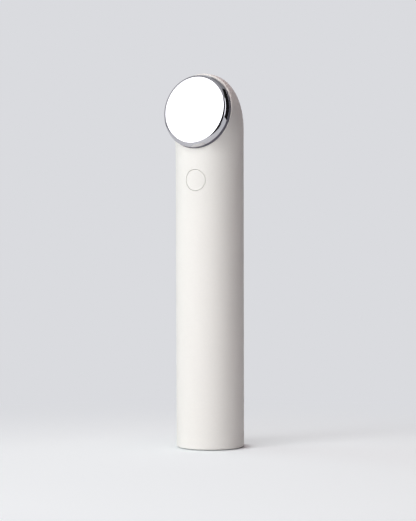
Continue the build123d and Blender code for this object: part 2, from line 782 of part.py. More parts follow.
# Charging board, its screws and its chip
charge_board_top = charge_board_z + charge_board_thickness
with BuildPart() as charge_board:
    with BuildSketch(Plane.XY.offset(charge_board_z)):
        RectangleRounded(charge_board_width, charge_board_length, board_corner_radius)
        with Locations((0, charge_post_offset), (0, -charge_post_offset)):
            Circle(small_screw_diameter / 2 + screw_clearance, mode=Mode.SUBTRACT)
    extrude(amount=charge_board_thickness)
charge_board.part.label = "charge_board"

with BuildPart() as charge_board_screws:
    with BuildSketch(Plane.XY.offset(charge_board_top)):
        with Locations((0, charge_post_offset), (0, -charge_post_offset)):
            Circle(small_screw_head_diameter / 2)
    extrude(amount=small_screw_head_height)
    with BuildSketch(Plane.XY.offset(charge_board_top)):
        with Locations((0, charge_post_offset), (0, -charge_post_offset)):
            Circle(small_screw_diameter / 2)
    extrude(amount=-small_screw_length)
    with BuildSketch(Plane.XY.offset(charge_board_top + small_screw_head_height)):
        with Locations((0, charge_post_offset), (0, -charge_post_offset)):
            RegularPolygon(small_screw_socket, 6)
    extrude(amount=-small_screw_head_height / 2, mode=Mode.SUBTRACT)
charge_board_screws.part.label = "charge_board_screws"

with BuildPart() as charge_chip:
    with BuildSketch(Plane.XY.offset(charge_board_top)):
        with Locations((charge_chip_offset, 0)):
            Rectangle(charge_chip_side, charge_chip_side)
    extrude(amount=charge_chip_height)
charge_chip.part.label = "charge_chip"


# Leads: round wires along filleted routes, each held at both ends
def lead_part(points, label):
    with BuildPart() as lead:
        with BuildLine() as route:
            FilletPolyline(*points, radius=lead_bend_radius)
        with BuildSketch(Plane(origin=route.line @ 0, z_dir=route.line % 0)):
            Circle(lead_diameter / 2)
        sweep(path=route.line)
    lead.part.label = label
    return lead.part


# The transducer's leads run back through the plate and down to their socket on the board
disc_back = inner_face - piezo_thickness
socket_middle_y = -(board_front + socket_height / 2)
lead_parts = []
for label, side in (("piezo_lead_live", 1), ("piezo_lead_return", -1)):
    across = Vector(side * piezo_lead_side, 0, 0)
    disc_point = mouth - face_up * piezo_lead_drop + face_out * disc_back + across
    reach = (disc_point.Y - socket_middle_y) / face_out.Y
    turn_point = disc_point - face_out * reach
    socket_point = Vector(turn_point.X, turn_point.Y, piezo_socket_z + socket_length / 2)
    lead_parts.append(lead_part([disc_point, turn_point, socket_point], label))

# The battery's leads run up the front of the cell to their socket
channel_y = -(tab_reach + lead_diameter / 2)
pocket_y = -(board_front + socket_height - socket_pocket)
tab_levels = (
    ("battery_lead_positive", 1, cell_top + tab_thickness / 2),
    ("battery_lead_negative", -1, cell_bottom - tab_thickness / 2),
)
for label, side, tab_level in tab_levels:
    lead_x = side * inner_lead_side
    route_points = [
        (lead_x, channel_y, tab_level),
        (lead_x, channel_y, battery_socket_z),
        (lead_x, pocket_y, battery_socket_z),
    ]
    lead_parts.append(lead_part(route_points, label))

# The charging board's leads run up beside them to the foot of the main board
for label, side in (("charge_lead_positive", 1), ("charge_lead_negative", -1)):
    lead_x = side * outer_lead_side
    start_y = channel_y + charge_lead_step
    turn_z = charge_board_top + charge_lead_rise
    pad_z = board_bottom + charge_pad_rise
    route_points = [
        (lead_x, start_y, charge_board_top),
        (lead_x, start_y, turn_z),
        (lead_x, channel_y, turn_z),
        (lead_x, channel_y, pad_z),
        (lead_x, -board_front, pad_z),
    ]
    lead_parts.append(lead_part(route_points, label))

# One STEP file per sub-part
built = (
    housing, head_cap, head_gasket, head_frame, head_screws, piezo_disc, piezo_locating_ring,
    power_button, button_seal_ring, button_retainer, switch_body, switch_cover, switch_plunger,
    main_board, board_screws, processor, bulk_capacitor, transformer_core, transformer_winding,
    power_transistors, battery_socket, piezo_socket, chassis, battery_cell, battery_tabs,
    battery_back_pads, battery_front_pads, base_cap, base_seal_ring, base_screws, foot_pad,
    charge_socket_shell, charge_socket_tongue, charge_board, charge_board_screws, charge_chip,
)
for part in [builder.part for builder in built] + lead_parts:
    export_step(part, f"parts/{part.label}.step")
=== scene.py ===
import math

import bpy
from mathutils import Matrix, Vector


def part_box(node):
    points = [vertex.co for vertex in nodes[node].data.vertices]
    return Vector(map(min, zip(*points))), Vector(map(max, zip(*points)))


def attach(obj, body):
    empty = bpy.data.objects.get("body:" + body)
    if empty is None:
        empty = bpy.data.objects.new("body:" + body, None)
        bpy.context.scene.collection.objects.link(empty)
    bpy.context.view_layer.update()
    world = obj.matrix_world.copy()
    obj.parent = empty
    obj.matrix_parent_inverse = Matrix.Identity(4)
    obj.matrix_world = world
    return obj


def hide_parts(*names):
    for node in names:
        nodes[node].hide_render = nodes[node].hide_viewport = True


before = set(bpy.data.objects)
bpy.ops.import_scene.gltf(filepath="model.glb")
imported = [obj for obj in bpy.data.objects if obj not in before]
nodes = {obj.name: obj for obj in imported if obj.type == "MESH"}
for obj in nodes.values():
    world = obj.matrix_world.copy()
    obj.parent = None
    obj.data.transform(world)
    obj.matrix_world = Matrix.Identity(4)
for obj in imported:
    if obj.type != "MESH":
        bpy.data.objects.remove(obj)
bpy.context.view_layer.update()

# a slim skincare wand, front towards -Y, standing on the floor at z = 0; metres
mm = 0.001
print("frame loaded:", len(nodes), "nodes")


# small helpers
def deselectAll():
    if bpy.context.mode != "OBJECT":
        bpy.ops.object.mode_set(mode="OBJECT")
    bpy.ops.object.select_all(action="DESELECT")


def linearColour(hexText):
    # sRGB hex to the linear values that a shader socket takes
    parts = [int(hexText[i:i + 2], 16) / 255 for i in (1, 3, 5)]
    return tuple(p / 12.92 if p <= 0.04045 else ((p + 0.055) / 1.055) ** 2.4 for p in parts) + (1.0,)


def direction(azimuth, elevation):
    # azimuth 0 is towards the wand's front, -Y, and 90 is towards +X
    a, e = math.radians(azimuth), math.radians(elevation)
    return Vector((math.sin(a) * math.cos(e), -math.cos(a) * math.cos(e), math.sin(e)))


def addNode(tree, kind, settings=None, inputs=None, links=None, feeds=None):
    # one node: its settings, its plain input values, the links into it and the sockets that it feeds
    node = tree.nodes.new(kind)
    for name, value in (settings or {}).items():
        setattr(node, name, value)
    for name, value in (inputs or {}).items():
        node.inputs[name].default_value = value
    for name, source in (links or {}).items():
        tree.links.new(source, node.inputs[name])
    for name, target in (feeds or {}).items():
        tree.links.new(node.outputs[name], target)
    return node


# the sockets of a Mix node that mixes colours: share, first and second colour, and the mixed one
mixShare, mixFirst, mixSecond, mixed = 0, 6, 7, 2

# where a look's plain values go on the shader
plainSockets = {
    "roughness": "Roughness",
    "ior": "IOR",
    "specular": "Specular IOR Level",
    "metallic": "Metallic",
    "clear": "Transmission Weight",
}


def emptyMaterial(name):
    material = bpy.data.materials.new(name)
    material.use_nodes = True
    material.node_tree.nodes.clear()
    return material, material.node_tree


def newMaterial(name, look):
    # plain values go straight onto the shader's sockets, and patterns are linked over them later
    material, tree = emptyMaterial(name)
    values = {socket: look[key] for key, socket in plainSockets.items() if key in look}
    values["Base Color"] = linearColour(look["colour"])
    shader = addNode(tree, "ShaderNodeBsdfPrincipled", inputs=values)
    addNode(tree, "ShaderNodeOutputMaterial", links={"Surface": shader.outputs["BSDF"]})
    return material, tree, shader


def setMaterial(piece, material):
    piece.data.materials.clear()
    piece.data.materials.append(material)


# camera: the photograph's place and angle; metres and degrees, and mm for lens and sensor
cameraView = {
    "distance": 1.2,
    "azimuth": 25.5,
    "height": 0.1472,
    "pitchDown": 3.0654,
    "yaw": -0.0407,
    "roll": -0.1233,
    "lens": 187.5,
    "sensor": 36.0,
    "clipNear": 0.05,
    "clipFar": 50,
}


def turned(first, second, angle):
    # both directions turned in their own plane, the first towards the second
    cosine, sine = math.cos(angle), math.sin(angle)
    return first * cosine + second * sine, second * cosine - first * sine


def makeCamera():
    azimuth = math.radians(cameraView["azimuth"])
    yaw, pitch, roll = (math.radians(cameraView[k]) for k in ("yaw", "pitchDown", "roll"))
    ahead = Vector((-math.sin(azimuth), math.cos(azimuth), 0))
    side = Vector((math.cos(azimuth), math.sin(azimuth), 0))
    up = Vector((0, 0, 1))
    ahead, side = turned(ahead, side, yaw)
    ahead, up = turned(ahead, up, -pitch)
    side, up = turned(side, up, roll)
    data = bpy.data.cameras.new("photoCamera")
    data.lens = cameraView["lens"]
    data.sensor_width = cameraView["sensor"]
    data.clip_start = cameraView["clipNear"]
    data.clip_end = cameraView["clipFar"]
    camera = bpy.data.objects.new("photoCamera", data)
    bpy.context.scene.collection.objects.link(camera)
    turn = Matrix((side, up, -ahead)).transposed().to_4x4()
    distance = cameraView["distance"]
    place = Vector((distance * math.sin(azimuth), -distance * math.cos(azimuth), cameraView["height"]))
    camera.matrix_world = Matrix.Translation(place) @ turn
    bpy.context.scene.camera = camera


makeCamera()
print("camera placed")

# the head's own frame, in mm and degrees: its origin is in the middle of the housing's mouth,
# and its Z points out of the face
headFrame = {
    "faceForward": 15.6,
    "faceHeight": 149.75,
    "tilt": 15.4,
    "mouthToFace": 4.5,
}


def headMatrix():
    tilt = math.radians(headFrame["tilt"])
    out = Vector((0, -math.cos(tilt), math.sin(tilt)))
    up = Vector((0, math.sin(tilt), math.cos(tilt)))
    side = out.cross(up)
    mouth = Vector((0, -headFrame["faceForward"], headFrame["faceHeight"])) - out * headFrame["mouthToFace"]
    turn = Matrix((up, side, out)).transposed().to_4x4()
    return Matrix.Translation(mouth * mm) @ turn


# metal cap, in mm: a flat face, a rounded rim, a flared wall and a skirt in the housing's mouth
capSizes = {
    "faceHalfWidth": 14.0,
    "faceHalfHeight": 14.9,
    "rimWidth": 0.55,
    "rimRound": 1.3,
    "wallFoot": 1.8,
    "footWidth": 1.15,
    "footHeight": 1.05,
    "footRound": 0.25,
    "seatWidth": 1.3,
    "skirtGap": 0.1,
    "skirtDepth": 3.0,
    "skirtWall": 1.1,
    "faceThickness": 1.2,
    "faceSink": 0.006,
    "corners": 256,
    "rimSteps": 20,
    "footSteps": 6,
    "smoothAngle": 30,
}


def capOutline():
    # half height, half width and level of each ring of the cap, from the edge of the flat face inwards
    s = capSizes
    top = headFrame["mouthToFace"] - s["faceSink"]
    flare = (s["footWidth"] + s["footHeight"]) / 2
    wallAngle = math.atan2(top - s["wallFoot"], flare)
    rings = []

    def addRing(outward, level, share):
        # the flare differs a little between the oval's sides and its ends
        bend = (s["footHeight"] - s["footWidth"]) / 2 * share
        edge = s["rimWidth"] + outward
        rings.append((s["faceHalfHeight"] + edge + bend, s["faceHalfWidth"] + edge - bend, level))

    rim, foot = s["rimRound"], s["footRound"]
    rimStart = -rim * math.tan(wallAngle / 2)
    for count in range(s["rimSteps"] + 1):
        turn = wallAngle * count / s["rimSteps"]
        addRing(rimStart + rim * math.sin(turn), top - rim * (1 - math.cos(turn)), 0)
    footTurn = math.pi - wallAngle
    footMiddle = flare - foot * math.tan(footTurn / 2)
    for count in range(s["footSteps"] + 1):
        turn = wallAngle + footTurn * count / s["footSteps"]
        addRing(footMiddle + foot * math.sin(turn), s["wallFoot"] + foot * (1 + math.cos(turn)), 1)
    skirt = flare - s["seatWidth"] - s["skirtGap"]
    for outward, level in (
        (skirt, s["wallFoot"]),
        (skirt, -s["skirtDepth"]),
        (skirt - s["skirtWall"], -s["skirtDepth"]),
        (skirt - s["skirtWall"], top - s["faceThickness"]),
    ):
        addRing(outward, level, 1)
    return rings


def makeCap():
    rings = capOutline()
    deselectAll()
    bpy.ops.mesh.primitive_circle_add(vertices=capSizes["corners"], radius=1, fill_type="NGON")
    cap = bpy.context.object
    cap.name = "headCap"
    bpy.ops.object.mode_set(mode="EDIT")
    bpy.ops.mesh.select_all(action="SELECT")
    tall, wide, level = (v * mm for v in rings[0])
    bpy.ops.transform.resize(value=(tall, wide, 1), center_override=(0, 0, 0))
    bpy.ops.transform.translate(value=(0, 0, level))
    bpy.ops.mesh.select_mode(type="EDGE")
    for ring in rings[1:]:
        nextTall, nextWide, nextLevel = (v * mm for v in ring)
        growth = (nextTall / tall, nextWide / wide, 1)
        bpy.ops.mesh.extrude_edges_move(TRANSFORM_OT_translate={"value": (0, 0, nextLevel - level)})
        bpy.ops.transform.resize(value=growth, center_override=(0, 0, nextLevel))
        tall, wide, level = nextTall, nextWide, nextLevel
    bpy.ops.mesh.edge_face_add()  # the inner side of the face
    bpy.ops.mesh.select_all(action="SELECT")
    bpy.ops.mesh.normals_make_consistent(inside=False)
    bpy.ops.object.mode_set(mode="OBJECT")
    cap.matrix_world = headMatrix()
    bpy.ops.object.transform_apply(location=True, rotation=True, scale=True)
    bpy.ops.object.shade_smooth_by_angle(angle=math.radians(capSizes["smoothAngle"]))
    weigh = cap.modifiers.new("flatFace", "WEIGHTED_NORMAL")
    weigh.keep_sharp = True
    bpy.ops.object.modifier_apply(modifier=weigh.name)
    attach(cap, "wand")
    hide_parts("head_cap")
    return cap


cap = makeCap()
print("cap made")

# materials; grains, patches, streaks and depths are in mm, and detail is how many finer layers a noise has
noiseDetail = {
    "grain": 3.0,
    "patch": 2.0,
    "streaks": 4.0,
    "flecks": 1.0,
}


def glossRange(look):
    return {
        "To Min": look["roughness"] - look["roughnessSpread"],
        "To Max": look["roughness"] + look["roughnessSpread"],
    }


def addGrain(tree, shader, look):
    # an even grain in tone and height, and wider patches in the gloss
    place = addNode(tree, "ShaderNodeTexCoord")
    grain = addNode(
        tree, "ShaderNodeTexNoise",
        inputs={"Scale": 1 / (look["grain"] * mm), "Detail": noiseDetail["grain"]},
        links={"Vector": place.outputs["Object"]})
    tone = addNode(
        tree, "ShaderNodeMix", {"data_type": "RGBA"},
        {mixFirst: linearColour(look["deepColour"]), mixSecond: linearColour(look["colour"])},
        {mixShare: grain.outputs["Fac"]},
        {mixed: shader.inputs["Base Color"]})
    patches = addNode(
        tree, "ShaderNodeTexNoise",
        inputs={"Scale": 1 / (look["patch"] * mm), "Detail": noiseDetail["patch"]},
        links={"Vector": place.outputs["Object"]})
    addNode(
        tree, "ShaderNodeMapRange", inputs=glossRange(look),
        links={"Value": patches.outputs["Fac"]},
        feeds={"Result": shader.inputs["Roughness"]})
    if look["depth"] > 0:
        addNode(
            tree, "ShaderNodeBump", inputs={"Distance": look["depth"] * mm},
            links={"Height": grain.outputs["Fac"]},
            feeds={"Normal": shader.inputs["Normal"]})
    return tone


def addStreaks(tree, shader, look, axis):
    # long, narrow streaks in the gloss, as drawing, rolling or a polishing wheel leaves them
    stretch = [1 / (look["streakWidth"] * mm)] * 3
    stretch["XYZ".index(axis)] = 1 / (look["streakLength"] * mm)
    place = addNode(tree, "ShaderNodeTexCoord")
    along = addNode(
        tree, "ShaderNodeMapping", inputs={"Scale": stretch}, links={"Vector": place.outputs["Object"]})
    streaks = addNode(
        tree, "ShaderNodeTexNoise", inputs={"Scale": 1.0, "Detail": noiseDetail["streaks"]},
        links={"Vector": along.outputs["Vector"]})
    addNode(
        tree, "ShaderNodeMapRange", inputs=glossRange(look),
        links={"Value": streaks.outputs["Fac"]},
        feeds={"Result": shader.inputs["Roughness"]})
    return streaks


def grained(name, look):
    # for a skin that its grain alone describes
    material, tree, shader = newMaterial(name, look)
    addGrain(tree, shader, look)
    return material


# matt soft-touch lacquer on moulded ABS: an even off-white skin with no clear highlight;
# the real grain is about 0.1 mm and too fine to show, so it is drawn coarser and as tone alone
shellLook = {
    "colour": "#EDEBE6",
    "deepColour": "#E9E7E2",
    "roughness": 0.6,
    "roughnessSpread": 0.04,
    "ior": 1.46,
    "specular": 0.3,
    "grain": 0.9,
    "patch": 9.0,
    "depth": 0.0,
}

# mirror-polished stainless steel: sharp reflections, with a trace of the polishing wheel in the gloss
capLook = {
    "colour": "#D0CFD3",
    "roughness": 0.025,
    "roughnessSpread": 0.015,
    "metallic": 1.0,
    "streakWidth": 0.4,
    "streakLength": 12.0,
}


def polishedStainless(look):
    material, tree, shader = newMaterial("mirrorPolishedStainless", look)
    addStreaks(tree, shader, look, "X")
    return material


# compression-moulded dark silicone: a soft, slightly dusty line between metal and lacquer
sealLook = {
    "colour": "#64626E",
    "deepColour": "#5A5864",
    "roughness": 0.5,
    "roughnessSpread": 0.08,
    "ior": 1.41,
    "grain": 0.5,
    "patch": 5.0,
    "depth": 0.004,
}

# the same silicone, filled pale for the foot: matt, with a fine eroded skin that grips
footLook = {
    "colour": "#D9D7D2",
    "deepColour": "#CDCBC5",
    "roughness": 0.7,
    "roughnessSpread": 0.06,
    "ior": 1.41,
    "grain": 0.4,
    "patch": 4.0,
    "depth": 0.01,
}

# cast clear silicone: milky and half clear, with a wet gloss
ringLook = {
    "colour": "#E6E8E4",
    "deepColour": "#D8DAD6",
    "roughness": 0.22,
    "roughnessSpread": 0.06,
    "ior": 1.41,
    "clear": 0.6,
    "grain": 1.2,
    "patch": 3.0,
    "depth": 0.003,
}

# moulded glass-filled nylon: dark grey with faint pale fibre flecks that lie along the flow
nylonLook = {
    "colour": "#4A4A4E",
    "deepColour": "#333337",
    "fleckColour": "#77777B",
    "roughness": 0.55,
    "roughnessSpread": 0.1,
    "ior": 1.53,
    "grain": 0.6,
    "patch": 6.0,
    "depth": 0.012,
    "fleckWidth": 0.12,
    "fleckLength": 1.6,
    "fleckFrom": 0.62,
    "fleckFull": 0.75,
}


def glassFilledNylon(look):
    material, tree, shader = newMaterial("mouldedGlassFilledNylon", look)
    tone = addGrain(tree, shader, look)
    across, lengthways = 1 / (look["fleckWidth"] * mm), 1 / (look["fleckLength"] * mm)
    place = addNode(tree, "ShaderNodeTexCoord")
    along = addNode(
        tree, "ShaderNodeMapping", inputs={"Scale": (across, across, lengthways)},
        links={"Vector": place.outputs["Object"]})
    fibres = addNode(
        tree, "ShaderNodeTexNoise", inputs={"Scale": 1.0, "Detail": noiseDetail["flecks"]},
        links={"Vector": along.outputs["Vector"]})
    flecks = addNode(
        tree, "ShaderNodeMapRange", inputs={"From Min": look["fleckFrom"], "From Max": look["fleckFull"]},
        links={"Value": fibres.outputs["Fac"]})
    addNode(
        tree, "ShaderNodeMix", {"data_type": "RGBA"}, {mixSecond: linearColour(look["fleckColour"])},
        {mixShare: flecks.outputs["Result"], mixFirst: tone.outputs[mixed]},
        {mixed: shader.inputs["Base Color"]})
    return material


# turned or stamped steel, zinc plated: a grey, slightly cloudy metal with fine tool marks
zincLook = {
    "colour": "#C6C7C9",
    "deepColour": "#AEB0B4",
    "roughness": 0.34,
    "roughnessSpread": 0.12,
    "metallic": 1.0,
    "grain": 0.25,
    "patch": 1.2,
    "depth": 0.003,
}

# sintered ferrite: a dull charcoal block with a sandy skin
ferriteLook = {
    "colour": "#3A3A3C",
    "deepColour": "#262629",
    "roughness": 0.62,
    "roughnessSpread": 0.1,
    "ior": 1.5,
    "grain": 0.3,
    "patch": 2.0,
    "depth": 0.02,
}

# transfer-moulded epoxy: near-black packages with a fine satin skin
epoxyLook = {
    "colour": "#222224",
    "deepColour": "#18181A",
    "roughness": 0.42,
    "roughnessSpread": 0.08,
    "ior": 1.55,
    "grain": 0.2,
    "patch": 1.5,
    "depth": 0.006,
}

# moulded nylon 66: warm white sockets, half gloss
socketLook = {
    "colour": "#ECE9DF",
    "deepColour": "#E2DFD4",
    "roughness": 0.38,
    "roughnessSpread": 0.06,
    "ior": 1.53,
    "grain": 0.8,
    "patch": 2.5,
    "depth": 0.004,
}

# shrunk PVC film: a tight glossy skin that follows the cell in long, faint waves
cellLook = {
    "colour": "#4A97BA",
    "deepColour": "#4390B4",
    "roughness": 0.24,
    "roughnessSpread": 0.06,
    "ior": 1.54,
    "grain": 4.0,
    "patch": 14.0,
    "depth": 0.03,
}

# extruded PVC sleeves of the leads: plain, supple, half gloss
redLeadLook = {
    "colour": "#C2302A",
    "deepColour": "#B02620",
    "roughness": 0.36,
    "roughnessSpread": 0.05,
    "ior": 1.54,
    "grain": 0.7,
    "patch": 5.0,
    "depth": 0.004,
}
blackLeadLook = dict(redLeadLook, colour="#2C2C2E", deepColour="#212123", roughness=0.4)

# piezo ceramic, pressed and sintered, with silver fired on both flat faces:
# a buff rim between two dull mirrors
discLook = {
    "colour": "#C9B894",
    "deepColour": "#B9A782",
    "silver": "#DAD8D2",
    "roughness": 0.45,
    "roughnessSpread": 0.08,
    "grain": 0.3,
    "patch": 2.0,
    "depth": 0.006,
    "faceFrom": 0.9,  # cosine between a normal and the disc's axis, from which it belongs to a flat face
}


def silveredPiezoCeramic(look):
    material, tree, shader = newMaterial("sinteredPiezoCeramicSilvered", look)
    tone = addGrain(tree, shader, look)
    discAxis = headMatrix().to_3x3() @ Vector((0, 0, 1))
    place = addNode(tree, "ShaderNodeTexCoord")
    facing = addNode(
        tree, "ShaderNodeVectorMath", {"operation": "DOT_PRODUCT"}, {1: discAxis},
        {0: place.outputs["Normal"]})
    flat = addNode(tree, "ShaderNodeMath", {"operation": "ABSOLUTE"}, links={0: facing.outputs["Value"]})
    silvered = addNode(
        tree, "ShaderNodeMath", {"operation": "GREATER_THAN"}, {1: look["faceFrom"]},
        {0: flat.outputs["Value"]}, {"Value": shader.inputs["Metallic"]})
    addNode(
        tree, "ShaderNodeMix", {"data_type": "RGBA"}, {mixSecond: linearColour(look["silver"])},
        {mixShare: silvered.outputs["Value"], mixFirst: tone.outputs[mixed]},
        {mixed: shader.inputs["Base Color"]})
    return material


# Blender's wave texture repeats every 0.314 / scale
wavePeriod = 0.314

# solder-masked glass fibre laminate: a green gloss with the cloth's weave showing through
boardLook = {
    "colour": "#2C7A4B",
    "deepColour": "#236A40",
    "roughness": 0.3,
    "roughnessSpread": 0.05,
    "ior": 1.52,
    "grain": 1.5,
    "patch": 5.0,
    "depth": 0.0,
    "weave": 0.45,
    "weaveDepth": 0.008,
}


def solderMaskedLaminate(name, look, weaveAxes):
    material, tree, shader = newMaterial(name, look)
    addGrain(tree, shader, look)
    place = addNode(tree, "ShaderNodeTexCoord")
    warp, weft = (
        addNode(
            tree, "ShaderNodeTexWave", {"wave_type": "BANDS", "bands_direction": axis},
            {"Scale": wavePeriod / (look["weave"] * mm)}, {"Vector": place.outputs["Object"]})
        for axis in weaveAxes)
    cloth = addNode(
        tree, "ShaderNodeMath", {"operation": "MULTIPLY"},
        links={0: warp.outputs["Fac"], 1: weft.outputs["Fac"]})
    addNode(
        tree, "ShaderNodeBump", inputs={"Distance": look["weaveDepth"] * mm},
        links={"Height": cloth.outputs["Value"]},
        feeds={"Normal": shader.inputs["Normal"]})
    return material


# enamelled copper wire wound on a former: orange brown, one ridge for each turn, with painted shade down in
# the groove between turns
windingLook = {
    "colour": "#C87A48",
    "paintedGrooveShade": "#7A3E1E",
    "roughness": 0.3,
    "metallic": 1.0,
    "turn": 0.25,
    "depth": 0.08,
}


def enamelledCopperWire(look):
    material, tree, shader = newMaterial("woundEnamelledCopper", look)
    place = addNode(tree, "ShaderNodeTexCoord")
    turns = addNode(
        tree, "ShaderNodeTexWave", {"wave_type": "BANDS", "bands_direction": "Z"},
        {"Scale": wavePeriod / (look["turn"] * mm)}, {"Vector": place.outputs["Object"]})
    # painted shade: the wire is darker where the bands sink it into a groove
    addNode(
        tree, "ShaderNodeMix", {"data_type": "RGBA"},
        {mixFirst: linearColour(look["paintedGrooveShade"]), mixSecond: linearColour(look["colour"])},
        {mixShare: turns.outputs["Fac"]},
        {mixed: shader.inputs["Base Color"]})
    addNode(
        tree, "ShaderNodeBump", inputs={"Distance": look["depth"] * mm},
        links={"Height": turns.outputs["Fac"]},
        feeds={"Normal": shader.inputs["Normal"]})
    return material


# shrunk PVC sleeve over an aluminium can: dark blue, with the pale stripe that marks the negative side
sleeveLook = {
    "colour": "#2A3358",
    "deepColour": "#232B4C",
    "stripe": "#C9CBD2",
    "stripeHalfAngle": 22.0,
    "roughness": 0.28,
    "roughnessSpread": 0.05,
    "ior": 1.54,
    "grain": 1.0,
    "patch": 3.0,
    "depth": 0.004,
}


def shrunkCapacitorSleeve(look):
    material, tree, shader = newMaterial("shrunkPvcSleeve", look)
    tone = addGrain(tree, shader, look)
    low, high = (Vector(corner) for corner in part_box("bulk_capacitor"))
    place = addNode(tree, "ShaderNodeTexCoord")
    centred = addNode(
        tree, "ShaderNodeMapping", inputs={"Location": -(low + high) / 2},
        links={"Vector": place.outputs["Object"]})
    parts = addNode(tree, "ShaderNodeSeparateXYZ", links={"Vector": centred.outputs["Vector"]})
    angle = addNode(
        tree, "ShaderNodeMath", {"operation": "ARCTAN2"},
        links={0: parts.outputs["X"], 1: parts.outputs["Z"]})
    unsigned = addNode(tree, "ShaderNodeMath", {"operation": "ABSOLUTE"}, links={0: angle.outputs["Value"]})
    stripe = addNode(
        tree, "ShaderNodeMath", {"operation": "LESS_THAN"}, {1: math.radians(look["stripeHalfAngle"])},
        {0: unsigned.outputs["Value"]})
    addNode(
        tree, "ShaderNodeMix", {"data_type": "RGBA"}, {mixSecond: linearColour(look["stripe"])},
        {mixShare: stripe.outputs["Value"], mixFirst: tone.outputs[mixed]},
        {mixed: shader.inputs["Base Color"]})
    return material


# rolled nickel strip and the drawn, nickel-plated inlet: bright metal with streaks along its length
stripLook = {
    "colour": "#CFCBC2",
    "roughness": 0.3,
    "roughnessSpread": 0.12,
    "metallic": 1.0,
    "streakWidth": 0.15,
    "streakLength": 6.0,
    "depth": 0.003,
}
inletLook = {
    "colour": "#CCCCCE",
    "roughness": 0.2,
    "roughnessSpread": 0.08,
    "metallic": 1.0,
    "streakWidth": 0.12,
    "streakLength": 5.0,
    "depth": 0.003,
}


def streakedMetal(name, look):
    material, tree, shader = newMaterial(name, look)
    streaks = addStreaks(tree, shader, look, "Z")
    addNode(
        tree, "ShaderNodeBump", inputs={"Distance": look["depth"] * mm},
        links={"Height": streaks.outputs["Fac"]},
        feeds={"Normal": shader.inputs["Normal"]})
    return material


# closed-cell polyurethane foam, die cut: soft black with open cells where the knife went through, each one
# darkened towards its middle by painted shade
foamLook = {
    "colour": "#4A4A4D",
    "paintedCellShade": "#1E1E20",
    "roughness": 0.95,
    "ior": 1.5,
    "cell": 0.6,
    "depth": 0.15,
}


def dieCutFoam(look):
    material, tree, shader = newMaterial("dieCutPolyurethaneFoam", look)
    place = addNode(tree, "ShaderNodeTexCoord")
    cells = addNode(
        tree, "ShaderNodeTexVoronoi", inputs={"Scale": 1 / (look["cell"] * mm)},
        links={"Vector": place.outputs["Object"]})
    # painted shade: darker towards the middle of each open cell, where the bump sinks it deepest
    addNode(
        tree, "ShaderNodeMix", {"data_type": "RGBA"},
        {mixFirst: linearColour(look["paintedCellShade"]), mixSecond: linearColour(look["colour"])},
        {mixShare: cells.outputs["Distance"]},
        {mixed: shader.inputs["Base Color"]})
    addNode(
        tree, "ShaderNodeBump", inputs={"Distance": look["depth"] * mm},
        links={"Height": cells.outputs["Distance"]},
        feeds={"Normal": shader.inputs["Normal"]})
    return material


finishes = (
    (grained("softTouchLacqueredAbs", shellLook), "housing power_button base_cap"),
    (polishedStainless(capLook), "head_cap"),
    (grained("mouldedDarkSilicone", sealLook), "head_gasket button_seal_ring base_seal_ring"),
    (grained("mouldedPaleSilicone", footLook), "foot_pad"),
    (grained("castClearSilicone", ringLook), "piezo_locating_ring"),
    (glassFilledNylon(nylonLook), "head_frame button_retainer chassis"),
    (grained("turnedZincPlatedSteel", zincLook),
     "head_screws switch_cover board_screws base_screws charge_board_screws"),
    (silveredPiezoCeramic(discLook), "piezo_disc"),
    (solderMaskedLaminate("solderMaskedUprightLaminate", boardLook, "XZ"), "main_board"),
    (solderMaskedLaminate("solderMaskedLevelLaminate", boardLook, "XY"), "charge_board"),
    (grained("transferMouldedEpoxy", epoxyLook),
     "switch_body switch_plunger processor power_transistors charge_socket_tongue charge_chip"),
    (grained("sinteredFerrite", ferriteLook), "transformer_core"),
    (enamelledCopperWire(windingLook), "transformer_winding"),
    (shrunkCapacitorSleeve(sleeveLook), "bulk_capacitor"),
    (grained("mouldedNylon66", socketLook), "battery_socket piezo_socket"),
    (grained("shrunkPvcFilm", cellLook), "battery_cell"),
    (streakedMetal("rolledNickelStrip", stripLook), "battery_tabs"),
    (streakedMetal("drawnNickelPlatedSteel", inletLook), "charge_socket_shell"),
    (dieCutFoam(foamLook), "battery_back_pads battery_front_pads"),
    (grained("extrudedRedPvc", redLeadLook), "piezo_lead_live battery_lead_positive charge_lead_positive"),
    (grained("extrudedBlackPvc", blackLeadLook),
     "piezo_lead_return battery_lead_negative charge_lead_negative"),
)
finished = 0
for material, names in finishes:
    for name in names.split():
        setMaterial(nodes[name], material)
        finished += 1
setMaterial(cap, nodes["head_cap"].data.materials[0])
print("materials set:", finished, "of", len(nodes), "nodes")

# studio, in metres: a pale table with a painted glow round the wand that fades to a grey wall, and the dim
# air between the lamps
tableLook = {
    "colour": "#F4FAFC",
    "roughness": 0.6,
    "specular": 0.0,
    "size": 30,
    "glow": 0.38,
    "glowColour": "#FAFEFF",
    "glowInner": 0.0145,
    "glowOuter": 0.0215,
    "poolForward": 0.10,
    "poolInner": 0.10,
    "poolOuter": 0.30,
}
airLook = {
    "wallColour": "#DADBDF",
    "colour": "#FFDCE4",
    "light": 0.062,
}


def seenDirectly(tree):
    # 1 for rays from the camera, from gloss and through glass, which see the plain wall and the table's glow
    path = addNode(tree, "ShaderNodeLightPath")
    seen = addNode(
        tree, "ShaderNodeMath", {"operation": "MAXIMUM"},
        links={0: path.outputs["Is Camera Ray"], 1: path.outputs["Is Glossy Ray"]})
    return addNode(
        tree, "ShaderNodeMath", {"operation": "MAXIMUM"},
        links={0: seen.outputs["Value"], 1: path.outputs["Is Transmission Ray"]}).outputs["Value"]


